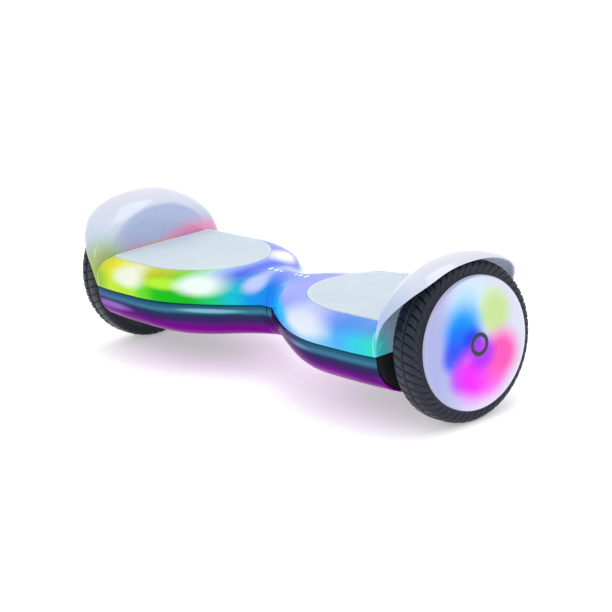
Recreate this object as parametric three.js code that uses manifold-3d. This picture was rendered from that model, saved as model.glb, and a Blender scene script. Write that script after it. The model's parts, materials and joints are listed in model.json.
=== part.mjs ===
// Self-balancing two-wheel board: two tilting halves on a hollow pivot shaft, with a hub motor
// wheel at each end. Millimetres, +Z up. X runs along the wheel axles, the front is -Y, and the
// origin is on the ground midway between the wheels.
import * as THREE from "three";
import { mergeVertices } from "three/addons/utils/BufferGeometryUtils.js";
import Module from "manifold-3d";

const wasm = await Module();
wasm.setup();

// ---------- Driving dimensions ----------
const GAP = 0.3; // running and assembly gap between neighbouring pieces
const WALL = 2.6; // wall of the moulded shells

const WHEEL_R = 80; // outside radius of the tyre, 6.3 inch wheel
const AXLE_Z = WHEEL_R;
const TYRE_IN = 242; // wheel-side stations along X
const TYRE_OUT = 272;
const RIM_R = 64;
const CAP_R = 66;
const CAP_OUT = 281; // crown of the light cap, half of the overall length
const COVER_IN = 237;

const SPLIT_X = 0.4; // half of the gap between the two halves
const END_X = 228; // wheel-side end wall of the shells
const FENDER_X = 224.3; // where the top shell stops and the fender starts
const SEAM_Z = AXLE_Z; // joint line between the top and bottom shells

const NECK_R = 34.2; // round neck at the pivot
const NECK_Z = 74.3; // height of the pivot axis
const NECK_END = 9;
const WIDE_X = 150; // where the half reaches its full width
const HALF_WIDTH = 90;
const TOP_RISE = 30.6; // crown of the top shell above the seam
const BELLY_DROP = 49; // belly below the seam
const BELLY_Z = 32; // flat of the belly

const PAD_TOP = 111;
const PAD_BOTTOM = 103.2;
const PAD_TIP_X = 59.3; // inner end of the D-shaped pad
const PAD_ROUND_X = 152; // where the straight sides turn into the round end
const PAD_END_X = 222;
const PAD_HALF = 68;

const PLATE_Z = 95.4; // chassis plate
const PLATE_T = 5.6;
const AXLE_R = 8;
const SHAFT_R = 14;
const SHAFT_BORE = 9;

// ---------- Materials ----------
const finish = (color, roughness, metalness = 0) =>
  new THREE.MeshStandardMaterial({ color, roughness, metalness });
const MATERIALS = {
  shell: finish(0xa9b6f2, 0.25),
  belly: finish(0x5b2a78, 0.2, 0.6),
  fender: finish(0xdfe3f4, 0.3),
  pad: finish(0xced8df, 0.7),
  tyre: finish(0x33363d, 0.75),
  cap: finish(0xe9e6fb, 0.25),
  lens: finish(0xf4f7ff, 0.2),
  aluminium: finish(0xa8abb0, 0.45, 1),
  steel: finish(0x8d9096, 0.35, 1),
  copper: finish(0xb06a3b, 0.4, 1),
  board: finish(0x1f5a3a, 0.6),
  battery: finish(0x2457a6, 0.5),
  plastic: finish(0x17181b, 0.5),
  rubber: finish(0x1c1d20, 0.85),
};

// ---------- Solid helpers ----------
function solid(geometry) {
  const bare = geometry.index ? geometry.toNonIndexed() : geometry.clone();
  for (const name of Object.keys(bare.attributes))
    if (name !== "position") bare.deleteAttribute(name);
  const merged = mergeVertices(bare, 1e-3);
  return new wasm.Manifold(
    new wasm.Mesh({
      numProp: 3,
      vertProperties: merged.attributes.position.array,
      triVerts: new Uint32Array(merged.index.array),
    }),
  );
}

function geometryOf(shape) {
  const mesh = shape.getMesh();
  const points = new Float32Array(mesh.numVert * 3);
  for (let i = 0; i < mesh.numVert; i++)
    points.set(mesh.vertProperties.subarray(i * mesh.numProp, i * mesh.numProp + 3), i * 3);
  const geometry = new THREE.BufferGeometry();
  geometry.setAttribute("position", new THREE.BufferAttribute(points, 3));
  geometry.setIndex(new THREE.BufferAttribute(mesh.triVerts, 1));
  geometry.computeVertexNormals();
  return geometry;
}

const joined = (first, ...rest) => rest.reduce((all, next) => all.add(next), first);
const cutBy = (first, ...tools) => tools.reduce((left, tool) => left.subtract(tool), first);

// A box between two corners.
function block(x0, x1, y0, y1, z0, z1) {
  const geometry = new THREE.BoxGeometry(x1 - x0, y1 - y0, z1 - z0);
  return solid(geometry.translate((x0 + x1) / 2, (y0 + y1) / 2, (z0 + z1) / 2));
}

// A round rod of radius r between two stations of one axis.
function rod(axis, r, from, to, a, b, sides = 20) {
  const geometry = new THREE.CylinderGeometry(r, r, to - from, sides);
  const middle = (from + to) / 2;
  if (axis === "x") geometry.rotateZ(-Math.PI / 2).translate(middle, a, b);
  else if (axis === "y") geometry.translate(a, middle, b);
  else geometry.rotateX(Math.PI / 2).translate(a, b, middle);
  return solid(geometry);
}

// A closed profile of [radius, x] points turned about the X axis at height z.
function turned(profile, z, sides = 28) {
  const points = profile.map(([r, x]) => new THREE.Vector2(r, x));
  if (profile[0][0] > 0) points.push(points[0].clone());
  const geometry = new THREE.LatheGeometry(points, sides).rotateZ(-Math.PI / 2);
  const made = solid(geometry.translate(0, 0, z));
  if (made.volume() > 0) return made;
  const turnedRound = new THREE.LatheGeometry(points.reverse(), sides).rotateZ(-Math.PI / 2);
  return solid(turnedRound.translate(0, 0, z));
}

// A plan outline of [x, y] points raised between two heights.
function raised(outline, z0, z1) {
  const shape = new THREE.Shape(outline.map(([x, y]) => new THREE.Vector2(x, y)));
  const geometry = new THREE.ExtrudeGeometry(shape, { depth: z1 - z0, bevelEnabled: false });
  return solid(geometry.translate(0, 0, z0));
}

// A closed body through rings of points that all hold the same number of points.
function lofted(rings) {
  const count = rings[0].length;
  const points = rings.flat();
  const faces = [];
  for (let i = 0; i + 1 < rings.length; i++)
    for (let j = 0; j < count; j++) {
      const a = i * count + j;
      const b = i * count + ((j + 1) % count);
      faces.push(a, b, b + count, a, b + count, a + count);
    }
  const cap = (ring, start, flip) => {
    const middle = ring.reduce((sum, p) => sum.add(p), new THREE.Vector3());
    points.push(middle.divideScalar(count));
    for (let j = 0; j < count; j++) {
      const edge = [start + j, start + ((j + 1) % count)];
      faces.push(points.length - 1, ...(flip ? edge.reverse() : edge));
    }
  };
  cap(rings[0], 0, true);
  cap(rings[rings.length - 1], (rings.length - 1) * count, false);
  const geometry = new THREE.BufferGeometry().setFromPoints(points);
  geometry.setIndex(faces);
  const made = solid(geometry);
  if (made.volume() > 0) return made;
  geometry.setIndex(faces.slice().reverse());
  return solid(geometry);
}

// A round cable along a smooth curve through the points.
function cable(points, r, steps) {
  const path = new THREE.CatmullRomCurve3(points.map((p) => new THREE.Vector3(...p)));
  const section = new THREE.Shape();
  section.absarc(0, 0, r, 0, Math.PI * 2);
  return solid(
    new THREE.ExtrudeGeometry(section, { steps, extrudePath: path, curveSegments: 4 }),
  );
}

// ---------- The outer form of one half ----------
const clamp01 = (t) => Math.min(1, Math.max(0, t));
const smooth = (x, from, to) => {
  const t = clamp01((x - from) / (to - from));
  return t * t * (3 - 2 * t);
};
const mix = (a, b, t) => a + (b - a) * t;

// Half of the board's width at station x: a round neck, a flare, then nearly parallel sides.
function halfWidth(x) {
  const flare = Math.sin((Math.PI / 2) * clamp01((x - NECK_END) / (WIDE_X - NECK_END)));
  const tuck = 3 * clamp01((x - 180) / (END_X - 180)) ** 2;
  return NECK_R + (HALF_WIDTH - NECK_R) * flare - tuck;
}

// One ring of the form at station x, drawn in by inset: a circle at the neck, a rounded box beyond.
function ring(x, inset, count = 32) {
  const body = smooth(x, 6, 74);
  const belly = smooth(x, 6, 125);
  const centre = mix(NECK_Z, SEAM_Z, body);
  const width = halfWidth(x) - inset;
  const up = mix(NECK_Z + NECK_R, SEAM_Z + TOP_RISE, body) - centre - inset;
  const down = centre - mix(NECK_Z - NECK_R, SEAM_Z - BELLY_DROP, belly) - inset;
  const upPower = mix(2, 5, body);
  const downPower = mix(2, 2.7, belly);
  const points = [];
  for (let i = 0; i < count; i++) {
    const angle = (2 * Math.PI * i) / count;
    const c = Math.cos(angle);
    const s = Math.sin(angle);
    const power = s >= 0 ? upPower : downPower;
    const y = width * Math.sign(c) * Math.abs(c) ** (2 / power);
    const z = centre + (s >= 0 ? up : down) * Math.sign(s) * Math.abs(s) ** (2 / power);
    points.push(new THREE.Vector3(x, y, z));
  }
  return points;
}

const STATIONS = [14, 28, 44, 64, 90, 122, 160];
function form(from, to, inset) {
  const stations = [from, ...STATIONS.filter((x) => x > from + 3 && x < to - 3), to];
  return lofted(stations.map((x) => ring(x, inset)));
}

// The pad's D outline, drawn in by inset; a negative inset makes the opening around it.
function padOutline(inset) {
  const half = PAD_HALF - inset;
  const end = PAD_END_X - inset;
  const reach = PAD_ROUND_X - PAD_TIP_X - inset;
  const outline = [[end, -half + 1.2]];
  const steps = 16;
  for (let i = 0; i <= steps; i++) {
    const angle = (Math.PI * i) / steps - Math.PI / 2;
    outline.push([PAD_ROUND_X - reach * Math.cos(angle), half * Math.sin(angle)]);
  }
  outline.push([end, half - 1.2]);
  return outline.reverse();
}

// ---------- Places of the fasteners and controls, for the right half ----------
const SHELL_SCREWS = [
  [70, 0],
  [204, -58],
  [204, 58],
];
const CLAMP_SCREWS = [180, 204];
const PLUNGERS = [-30, 30];
const PLUNGER_X = 118;
const PORT = { x: 160, z: 66, face: 84.8, r: 10.4, bore: 6.4, depth: 13 };
const BUTTON = { x: 118, z: 66, face: 82.6, r: 6.5 };
const LIGHT_DASHES = [
  [28, 30, 4],
  [18.7, 20.3, 3],
  [11.4, 12.6, 2],
];
const LENS_TOP = 108.4;

// ---------- Shells, fender and pad ----------
function topShell() {
  const skin = form(SPLIT_X, FENDER_X - GAP, 0).subtract(
    form(SPLIT_X - 5, FENDER_X - GAP - WALL, WALL),
  );
  const upper = skin.subtract(block(-10, 240, -100, 100, 0, SEAM_Z + GAP / 2));
  const slots = LIGHT_DASHES.map(([x0, x1, half]) =>
    block(x0 - GAP, x1 + GAP, -half - GAP, half + GAP, 100, 120),
  );
  const axleNotch = rod("x", AXLE_R + 6, 215, 235, 0, AXLE_Z);
  return cutBy(upper, raised(padOutline(-0.6), 96, 120), axleNotch, ...slots);
}

function bottomShell(hasControls) {
  const skin = form(SPLIT_X, END_X, 0).subtract(form(SPLIT_X - 5, END_X - WALL, WALL));
  let shell = skin.subtract(block(-10, 240, -100, 100, SEAM_Z - GAP / 2, 130));
  const boss = (r) =>
    SHELL_SCREWS.map(([x, y]) => rod("z", r, BELLY_Z, x < 100 ? 51.6 : 60, x, y, 12));
  const inside = form(SPLIT_X, END_X - 1, 1);
  for (const pillar of boss(6.5)) shell = shell.add(pillar.intersect(inside));
  shell = cutBy(shell, block(-10, 240, -100, 100, 0, BELLY_Z));
  shell = shell.add(block(112, END_X - 1, -34, 34, BELLY_Z, BELLY_Z + WALL));
  shell = cutBy(shell, ...boss(2.3), rod("x", AXLE_R + 6, 215, 240, 0, AXLE_Z));
  for (const [x, y] of SHELL_SCREWS) shell = shell.subtract(rod("z", 4.6, 20, 45, x, y, 12));
  if (!hasControls) return shell;
  // each control sits in a short round pocket behind the skin
  for (const { x, z, face, r } of [PORT, BUTTON]) {
    const pocket = rod("y", r + 2.4, face - 6, 100, x, z);
    shell = shell.add(pocket.intersect(form(SPLIT_X, END_X - 1, 0.8)));
  }
  return cutBy(
    shell,
    block(80, 200, 70, 100, SEAM_Z - GAP / 2, 100),
    rod("y", PORT.r + GAP, 60, 100, PORT.x, PORT.z),
    rod("y", BUTTON.r + 0.4, 60, 100, BUTTON.x, BUTTON.z),
  );
}

// The arch over the wheel is a sheet of cubic curves: each starts on the crease of the flat
// inner wall, climbs over the ridge and ends on the free outer edge of the brim.
const ARCH = { x: 226, half: 65, rise: 45, base: 108 };
const BRIM = new THREE.CatmullRomCurve3(
  [
    [229, -87, 81.5],
    [234, -88, 99],
    [244, -86, 117],
    [262, -72, 137],
    [274, -53, 150],
    [277, -28, 159],
    [277, 0, 161.5],
    [277, 28, 159],
    [274, 53, 150],
    [262, 72, 137],
    [244, 86, 117],
    [234, 88, 99],
    [229, 87, 81.5],
  ].map((p) => new THREE.Vector3(...p)),
);

function fenderPoint(u, v) {
  const angle = Math.PI * u;
  const lift = Math.sin(angle);
  const side = -Math.cos(angle);
  const crease = new THREE.Vector3(ARCH.x, ARCH.half * side, ARCH.base + ARCH.rise * lift);
  const brim = BRIM.getPoint(u);
  const shoulder = new THREE.Vector3(
    crease.x + 1 + 8 * lift,
    crease.y + 12 * side,
    crease.z + 12.5 * lift,
  );
  const ridge = new THREE.Vector3(
    brim.x - 15 * lift,
    brim.y + 1.5 * side,
    brim.z + 9 + 2 * (1 - lift),
  );
  return new THREE.CubicBezierCurve3(crease, shoulder, ridge, brim).getPoint(v);
}

function fenderSheet(thickness) {
  const across = 6;
  const along = 18;
  const step = 1e-3;
  const rings = [];
  for (let i = 0; i <= along; i++) {
    const u = i / along;
    const outer = [];
    const inner = [];
    for (let j = 0; j <= across; j++) {
      const v = j / across;
      const p = fenderPoint(u, v);
      const du = fenderPoint(Math.min(1, u + step), v).sub(fenderPoint(Math.max(0, u - step), v));
      const dv = fenderPoint(u, Math.min(1, v + step)).sub(fenderPoint(u, Math.max(0, v - step)));
      const inward = du.cross(dv).normalize();
      outer.push(p);
      inner.push(p.clone().addScaledVector(inward, thickness));
    }
    rings.push([...outer, ...inner.reverse()]);
  }
  return lofted(rings);
}

// The flat wall between the foot and the wheel, which carries on down as the shell's end.
function fenderWall() {
  const section = ring(FENDER_X, 0.3, 48).filter((p) => p.z > SEAM_Z + 1);
  const arch = [];
  for (let i = 0; i <= 18; i++) {
    const angle = (Math.PI * i) / 18;
    arch.push([ARCH.half * Math.cos(angle), ARCH.base + ARCH.rise * Math.sin(angle)]);
  }
  const sides = section.map((p) => [p.y, p.z]);
  const right = sides.filter(([y, z]) => y > ARCH.half && z < ARCH.base);
  const left = sides.filter(([y, z]) => y < -ARCH.half && z < ARCH.base);
  const foot = SEAM_Z + GAP / 2;
  const outline = [[86, foot], ...right, ...arch, ...left, [-86, foot]];
  const shape = new THREE.Shape(outline.map(([y, z]) => new THREE.Vector2(y, z)));
  const geometry = new THREE.ExtrudeGeometry(shape, { depth: WALL, bevelEnabled: false });
  geometry.rotateX(Math.PI / 2).rotateZ(Math.PI / 2).translate(FENDER_X, 0, 0);
  return solid(geometry);
}

function fender() {
  const clearOfSeam = block(200, 300, -100, 100, 60, SEAM_Z + GAP / 2);
  const clearOfShell = block(200, FENDER_X, -100, 100, 60, 200);
  const axleNotch = rod("x", AXLE_R + 6, 215, 235, 0, AXLE_Z);
  return cutBy(joined(fenderWall(), fenderSheet(2.4)), clearOfSeam, clearOfShell, axleNotch);
}

function footPad() {
  const slab = raised(padOutline(0), PAD_BOTTOM, PAD_TOP);
  const plungers = PLUNGERS.map((y) => rod("z", 4, 91, PAD_BOTTOM + 1, PLUNGER_X, y, 16));
  return joined(slab, ...plungers);
}

// ---------- Chassis, axle clamp and pivot ----------
function chassis(bore, hubEnd) {
  const outline = [];
  const stations = [24, 40, 60, 84, 110, 140, 175, 217];
  for (const x of stations) outline.push([x, -(halfWidth(x) - 17)]);
  for (const x of stations.slice().reverse()) outline.push([x, halfWidth(x) - 17]);
  const plate = raised(outline, PLATE_Z, PLATE_Z + PLATE_T);
  const ribs = [-38, 38].map((y) => block(84, 216, y - 2, y + 2, 86, PLATE_Z + 1));
  const crossRib = block(146, 150, -40, 40, 86, PLATE_Z + 1);
  const cradle = block(168, 216, -20, 20, AXLE_Z + GAP, PLATE_Z + 1);
  const hub = rod("x", 22, 6, hubEnd, 0, NECK_Z);
  const neckWeb = block(24, hubEnd - 1, -12, 12, 85, PLATE_Z + 1);
  const pillars = SHELL_SCREWS.slice(1).map(([x, y]) => rod("z", 6, 60.4, 98, x, y, 12));
  return cutBy(
    joined(plate, ...ribs, crossRib, cradle, hub, neckWeb, ...pillars),
    rod("x", AXLE_R + GAP, 160, 230, 0, AXLE_Z),
    rod("x", bore, 0, 80, 0, NECK_Z),
    ...PLUNGERS.map((y) => rod("z", 5.4, 80, 110, PLUNGER_X, y, 20)),
    ...SHELL_SCREWS.map(([x, y]) => rod("z", 2.3, 40, 78, x, y, 16)),
    ...CLAMP_SCREWS.flatMap((x) => [-13, 13].map((y) => rod("z", 2.3, 60, 92, x, y, 16))),
  );
}

function axleClamp() {
  const bar = block(170, 214, -20, 20, 68, AXLE_Z - GAP);
  return cutBy(
    bar,
    rod("x", AXLE_R + GAP, 160, 230, 0, AXLE_Z),
    ...CLAMP_SCREWS.flatMap((x) => [-13, 13].map((y) => rod("z", 2.3, 60, 92, x, y, 16))),
  );
}

// A cap screw that points up: head from z0, shank to z1.
function screw(x, y, z0, z1, headR, shankR) {
  const head = cutBy(
    rod("z", headR, z0, z0 + 2.6, x, y, 16),
    rod("z", headR * 0.45, z0 - 1, z0 + 1.4, x, y, 6),
  );
  return head.add(rod("z", shankR, z0 + 2, z1, x, y, 12));
}

function pivotShaft() {
  const tube = turned(
    [
      [SHAFT_BORE, -76],
      [20, -76],
      [20, -73],
      [SHAFT_R, -73],
      [SHAFT_R, 63.6],
      [12.8, 63.6],
      [12.8, 65.4],
      [SHAFT_R, 65.4],
      [SHAFT_R, 69],
      [SHAFT_BORE, 69],
    ],
    NECK_Z,
  );
  return tube;
}

function pivotBush(x0, x1) {
  return turned(
    [
      [SHAFT_R + GAP, x0],
      [17, x0],
      [17, x1],
      [SHAFT_R + GAP, x1],
    ],
    NECK_Z,
  );
}

function circlip() {
  const clip = turned(
    [
      [13.1, 63.9],
      [19.5, 63.9],
      [19.5, 65.1],
      [13.1, 65.1],
    ],
    NECK_Z,
  );
  return clip.subtract(block(60, 70, -4, 4, NECK_Z - 20, NECK_Z - 8));
}

// ---------- Wheel ----------
function tyre() {
  return turned(
    [
      [RIM_R + GAP, TYRE_IN + 1],
      [72, TYRE_IN],
      [77, TYRE_IN + 0.6],
      [79.4, TYRE_IN + 4],
      [WHEEL_R, TYRE_IN + 9],
      [WHEEL_R, TYRE_OUT - 9],
      [79.2, TYRE_OUT - 4.6],
      [76.6, TYRE_OUT - 1.6],
      [72, TYRE_OUT - 0.3],
      [CAP_R + GAP, TYRE_OUT],
      [CAP_R + GAP, 271.5],
      [RIM_R + GAP, 271.5],
    ],
    AXLE_Z,
    48,
  );
}

function rim() {
  return turned(
    [
      [15.4, 263],
      [22, 263],
      [24, 267.4],
      [56, 267.4],
      [56, 243.4],
      [RIM_R, 243.4],
      [RIM_R, 271],
      [10, 271],
      [10, 268.4],
      [15.4, 268.4],
    ],
    AXLE_Z,
  );
}

function motorCover() {
  return turned(
    [
      [15.4, COVER_IN],
      [20, COVER_IN],
      [58, 239.4],
      [RIM_R - 1, 240.4],
      [RIM_R - 1, 243],
      [24, 243],
      [22, 246],
      [15.4, 246],
    ],
    AXLE_Z,
  );
}

function annulus(inner, outer, x0, x1, sides) {
  return turned(
    [
      [inner, x0],
      [outer, x0],
      [outer, x1],
      [inner, x1],
    ],
    AXLE_Z,
    sides,
  );
}

function stator() {
  const core = annulus(AXLE_R + GAP, 50, 248.6, 261, 36);
  const slots = [];
  const teeth = 18;
  for (let i = 0; i < teeth; i++) {
    const slot = new THREE.BoxGeometry(30, 2.6, 12).translate(255, 0, 45);
    slot.rotateX((2 * Math.PI * i) / teeth).translate(0, 0, AXLE_Z);
    slots.push(solid(slot));
  }
  return cutBy(core, ...slots);
}

function axle() {
  const rodPart = rod("x", AXLE_R, 172, 266.8, 0, AXLE_Z);
  const flats = [AXLE_R - 1, -AXLE_R - 3].map((z) =>
    block(170, 222, -12, 12, AXLE_Z + z, AXLE_Z + z + 4),
  );
  return cutBy(rodPart, ...flats, rod("x", 3.4, 165, 190, 0, AXLE_Z, 16));
}

function wheelCap() {
  return turned(
    [
      [0, CAP_OUT],
      [32, CAP_OUT - 0.6],
      [58, CAP_OUT - 2.2],
      [64.4, CAP_OUT - 3.4],
      [CAP_R, CAP_OUT - 4.8],
      [CAP_R, 272],
      [CAP_R - 2.4, 272],
      [CAP_R - 2.4, CAP_OUT - 5.6],
      [32, CAP_OUT - 3],
      [0, CAP_OUT - 2.4],
    ],
    AXLE_Z,
    48,
  );
}

// ---------- Electrics ----------
function lightStrip() {
  const stations = [44, 60, 80, 104, 130, 160, 190, 214];
  const outline = stations.map((x) => [x, -(halfWidth(x) - 8)]);
  for (const x of stations.slice().reverse()) outline.push([x, -(halfWidth(x) - 9.6)]);
  const strip = raised(outline, 83, 92);
  const lamps = [60, 104, 160, 190].map((x) => {
    const y = -(halfWidth(x) - 8);
    return block(x - 2.5, x + 2.5, y - 1.5, y + 1, 85, 90);
  });
  return joined(strip, ...lamps);
}

function sensorBoard() {
  const board = block(96, 140, -36, 36, 82.4, 84);
  const switches = PLUNGERS.map((y) =>
    cutBy(
      block(PLUNGER_X - 7, PLUNGER_X + 7, y - 6, y + 6, 83, 90),
      block(PLUNGER_X - 4.8, PLUNGER_X + 4.8, y - 7, y + 7, 86, 92),
    ),
  );
  return joined(board, ...switches, block(100, 106, -4, 4, 83, 86));
}

function mainBoard() {
  const board = block(84, 150, -40, 40, 48, 49.8);
  const heatSink = block(90, 104, -30, 30, 49, 60);
  const capacitors = [-24, 0, 24].map((y) => rod("z", 6, 49, 64, 136, y, 16));
  const sockets = [-30, -10, 10, 30].map((y) => block(112, 120, y - 5, y + 5, 49, 57));
  const standoffs = [88, 146].flatMap((x) =>
    [-30, 30].map((y) => rod("z", 3, BELLY_Z + WALL + 8, 49, x, y, 10)),
  );
  return joined(board, heatSink, ...capacitors, ...sockets, ...standoffs);
}

function batteryPack() {
  const pack = block(-212, -104, -38, 38, BELLY_Z + 5.8, 64.6);
  const lead = block(-106, -98, -8, 8, 48, 56);
  return pack.add(lead);
}

function wheelLightBoard() {
  const board = annulus(16, 60, 271.3, 272.7);
  const lamps = [];
  for (let i = 0; i < 8; i++) {
    const lamp = new THREE.BoxGeometry(2, 5, 5).translate(273.4, 0, 30);
    lamps.push(solid(lamp.rotateX((Math.PI * i) / 4).translate(0, 0, AXLE_Z)));
  }
  return joined(board, ...lamps);
}

function chargePort() {
  const { x, z, face, r, bore, depth } = PORT;
  const body = rod("y", r, face - 18, face, x, z);
  const socket = rod("y", bore, face - depth, face + 5, x, z);
  const pins = [0, 1, 2].map((i) => {
    const angle = (2 * Math.PI * i) / 3;
    const px = x + 3.4 * Math.sin(angle);
    const pz = z + 3.4 * Math.cos(angle);
    return rod("y", 0.8, face - depth - 1, face - 10, px, pz, 8);
  });
  return joined(body.subtract(socket), ...pins);
}

function chargePortCap() {
  const { x, z, face, r, bore } = PORT;
  const disc = rod("y", r - 0.3, face + GAP, face + 3, x, z);
  const plug = rod("y", bore - 0.8, face - 2, face + 1, x, z);
  const tab = block(x - 3, x + 3, face + GAP, face + 3, z - r - 1.5, z - r + 2);
  return joined(disc, plug, tab.intersect(rod("y", r - 0.3 + 1.6, face, face + 4, x, z)));
}

function powerButton() {
  const { x, z, face, r } = BUTTON;
  const stem = rod("y", 3, face - 14, face - 4, x, z, 20);
  const flange = rod("y", r - 0.2, face - 6, face, x, z);
  const dish = new THREE.SphereGeometry(24, 16, 12).translate(x, face + 23.2, z);
  return joined(stem, flange).subtract(solid(dish));
}

function indicatorLens() {
  const plate = block(10, 31.4, -5, 5, 102.6, 104.8);
  const dashes = LIGHT_DASHES.map(([x0, x1, half]) => block(x0, x1, -half, half, 104, LENS_TOP));
  return joined(plate, ...dashes);
}

// ---------- Assembly ----------
const board = new THREE.Group();

function add(parent, name, shape, material) {
  const mesh = new THREE.Mesh(geometryOf(shape), MATERIALS[material]);
  mesh.name = name;
  parent.add(mesh);
}

for (const side of ["left", "right"]) {
  const half = new THREE.Group();
  const isRight = side === "right";
  if (!isRight) half.scale.x = -1; // the left half mirrors the right one
  const piece = (name, shape, material) => add(half, `${side}_${name}`, shape, material);

  piece("top_shell", topShell(), "shell");
  piece("bottom_shell", bottomShell(isRight), "belly");
  piece("fender", fender(), "fender");
  piece("foot_pad", footPad(), "pad");
  piece("chassis", isRight ? chassis(17 + GAP, 63.4) : chassis(SHAFT_R + GAP, 72), "aluminium");
  piece("axle_clamp", axleClamp(), "aluminium");
  CLAMP_SCREWS.forEach((x, i) =>
    piece(`clamp_screw_${i + 1}`, screw(x, i ? 13 : -13, 65, 88, 4, 2), "steel"),
  );
  SHELL_SCREWS.forEach(([x, y], i) =>
    piece(`shell_screw_${i + 1}`, screw(x, y, 41.6, i ? 74 : 56, 4, 2), "steel"),
  );
  piece("light_strip", lightStrip(), "board");
  piece("sensor_board", sensorBoard(), "board");
  piece("indicator_lens", indicatorLens(), "lens");

  piece("axle", axle(), "steel");
  piece("stator", stator(), "copper");
  piece("inner_bearing", annulus(AXLE_R + GAP, 15.1, 238, 245, 20), "steel");
  piece("outer_bearing", annulus(AXLE_R + GAP, 15.1, 263, 268, 20), "steel");
  piece("magnet_ring", annulus(51.6, 55.7, 247, 263), "steel");
  piece("motor_cover", motorCover(), "aluminium");
  piece("rim", rim(), "aluminium");
  piece("tyre", tyre(), "tyre");
  piece("wheel_light_board", wheelLightBoard(), "board");
  piece("wheel_cap", wheelCap(), "cap");
  board.add(half);
}

add(board, "pivot_shaft", pivotShaft(), "steel");
add(board, "pivot_bush_inner", pivotBush(6, 20), "copper");
add(board, "pivot_bush_outer", pivotBush(49, 63), "copper");
add(board, "pivot_circlip", circlip(), "steel");
add(board, "battery_pack", batteryPack(), "battery");
add(board, "main_board", mainBoard(), "board");
add(board, "charge_port", chargePort(), "plastic");
add(board, "charge_port_cap", chargePortCap(), "rubber");
add(board, "power_button", powerButton(), "plastic");
add(
  board,
  "left_motor_cable",
  cable(
    [
      [-171.6, 0, AXLE_Z],
      [-160, 0, AXLE_Z],
      [-140, 6, 76],
      [-112, 8, 72],
      [-90, 0, NECK_Z],
      [-72, 0, NECK_Z],
      [-30, 0, NECK_Z],
      [30, 0, NECK_Z],
      [76, 0, NECK_Z],
    ],
    3.2,
    30,
  ),
  "rubber",
);
add(
  board,
  "right_motor_cable",
  cable(
    [
      [171.6, 0, AXLE_Z],
      [160, 0, AXLE_Z],
      [148, 6, 75],
      [136, 10, 70],
      [122, 10, 67],
      [117, 10, 61],
    ],
    3.2,
    12,
  ),
  "rubber",
);

export default board;
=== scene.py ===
"""Looks of the self-balancing board: its visible pieces, their materials, the studio and the camera."""

import json
import math

import bmesh
import bpy
import numpy as np
from mathutils import Matrix, Vector


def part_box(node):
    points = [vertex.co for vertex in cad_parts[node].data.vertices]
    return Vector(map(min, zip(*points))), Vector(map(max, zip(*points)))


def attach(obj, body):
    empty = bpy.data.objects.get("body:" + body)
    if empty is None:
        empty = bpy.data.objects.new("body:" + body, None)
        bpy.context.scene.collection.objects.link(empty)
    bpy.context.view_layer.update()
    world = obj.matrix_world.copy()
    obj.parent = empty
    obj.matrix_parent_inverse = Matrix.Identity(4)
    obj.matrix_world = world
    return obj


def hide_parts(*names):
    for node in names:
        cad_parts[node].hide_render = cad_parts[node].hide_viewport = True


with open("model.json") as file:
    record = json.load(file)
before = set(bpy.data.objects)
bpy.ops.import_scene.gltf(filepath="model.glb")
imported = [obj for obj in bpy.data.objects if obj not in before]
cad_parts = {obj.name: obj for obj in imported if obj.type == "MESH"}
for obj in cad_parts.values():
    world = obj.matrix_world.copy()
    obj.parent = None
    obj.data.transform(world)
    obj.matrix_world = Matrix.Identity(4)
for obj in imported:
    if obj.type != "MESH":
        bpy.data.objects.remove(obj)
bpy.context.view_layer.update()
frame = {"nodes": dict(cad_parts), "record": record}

# Shapes are worked out in millimetres, in the CAD frame, and written to the meshes in metres.
# A piece that both halves have is drawn for the right half and mirrored for the left one.
MM = 0.001
SIDES = ("left", "right")
ALONG_X, ALONG_Y, ALONG_Z = range(3)
BLACK = (0.0, 0.0, 0.0, 1.0)


def box_mm(node):
    low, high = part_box(node)
    return np.array(low) / MM, np.array(high) / MM


# ---------- Places read from the CAD model, on the right half ----------
GAP = 0.3
TYRE_LOW, TYRE_HIGH = box_mm("right_tyre")
WHEEL_R = (TYRE_HIGH[2] - TYRE_LOW[2]) / 2
AXLE_Z = WHEEL_R
AXLE = (0, 0, AXLE_Z)
TYRE_IN, TYRE_OUT = TYRE_LOW[0], TYRE_HIGH[0]
CAP_LOW, CAP_HIGH = box_mm("right_wheel_cap")
CAP_R = (CAP_HIGH[2] - CAP_LOW[2]) / 2
CAP_IN, CAP_OUT = CAP_LOW[0], CAP_HIGH[0]
PAD_LOW, PAD_HIGH = box_mm("right_foot_pad")
PAD_TIP_X, PAD_END_X = PAD_LOW[0], PAD_HIGH[0]
PAD_HALF, PAD_TOP = PAD_HIGH[1], PAD_HIGH[2]
SHELL_LOW, SHELL_HIGH = box_mm("right_top_shell")
SPLIT_X = SHELL_LOW[0]
TOP_END_X = SHELL_HIGH[0]
END_X = box_mm("right_bottom_shell")[1][0]
SEAM_Z = AXLE_Z
FENDER_X = TOP_END_X + GAP

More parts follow.
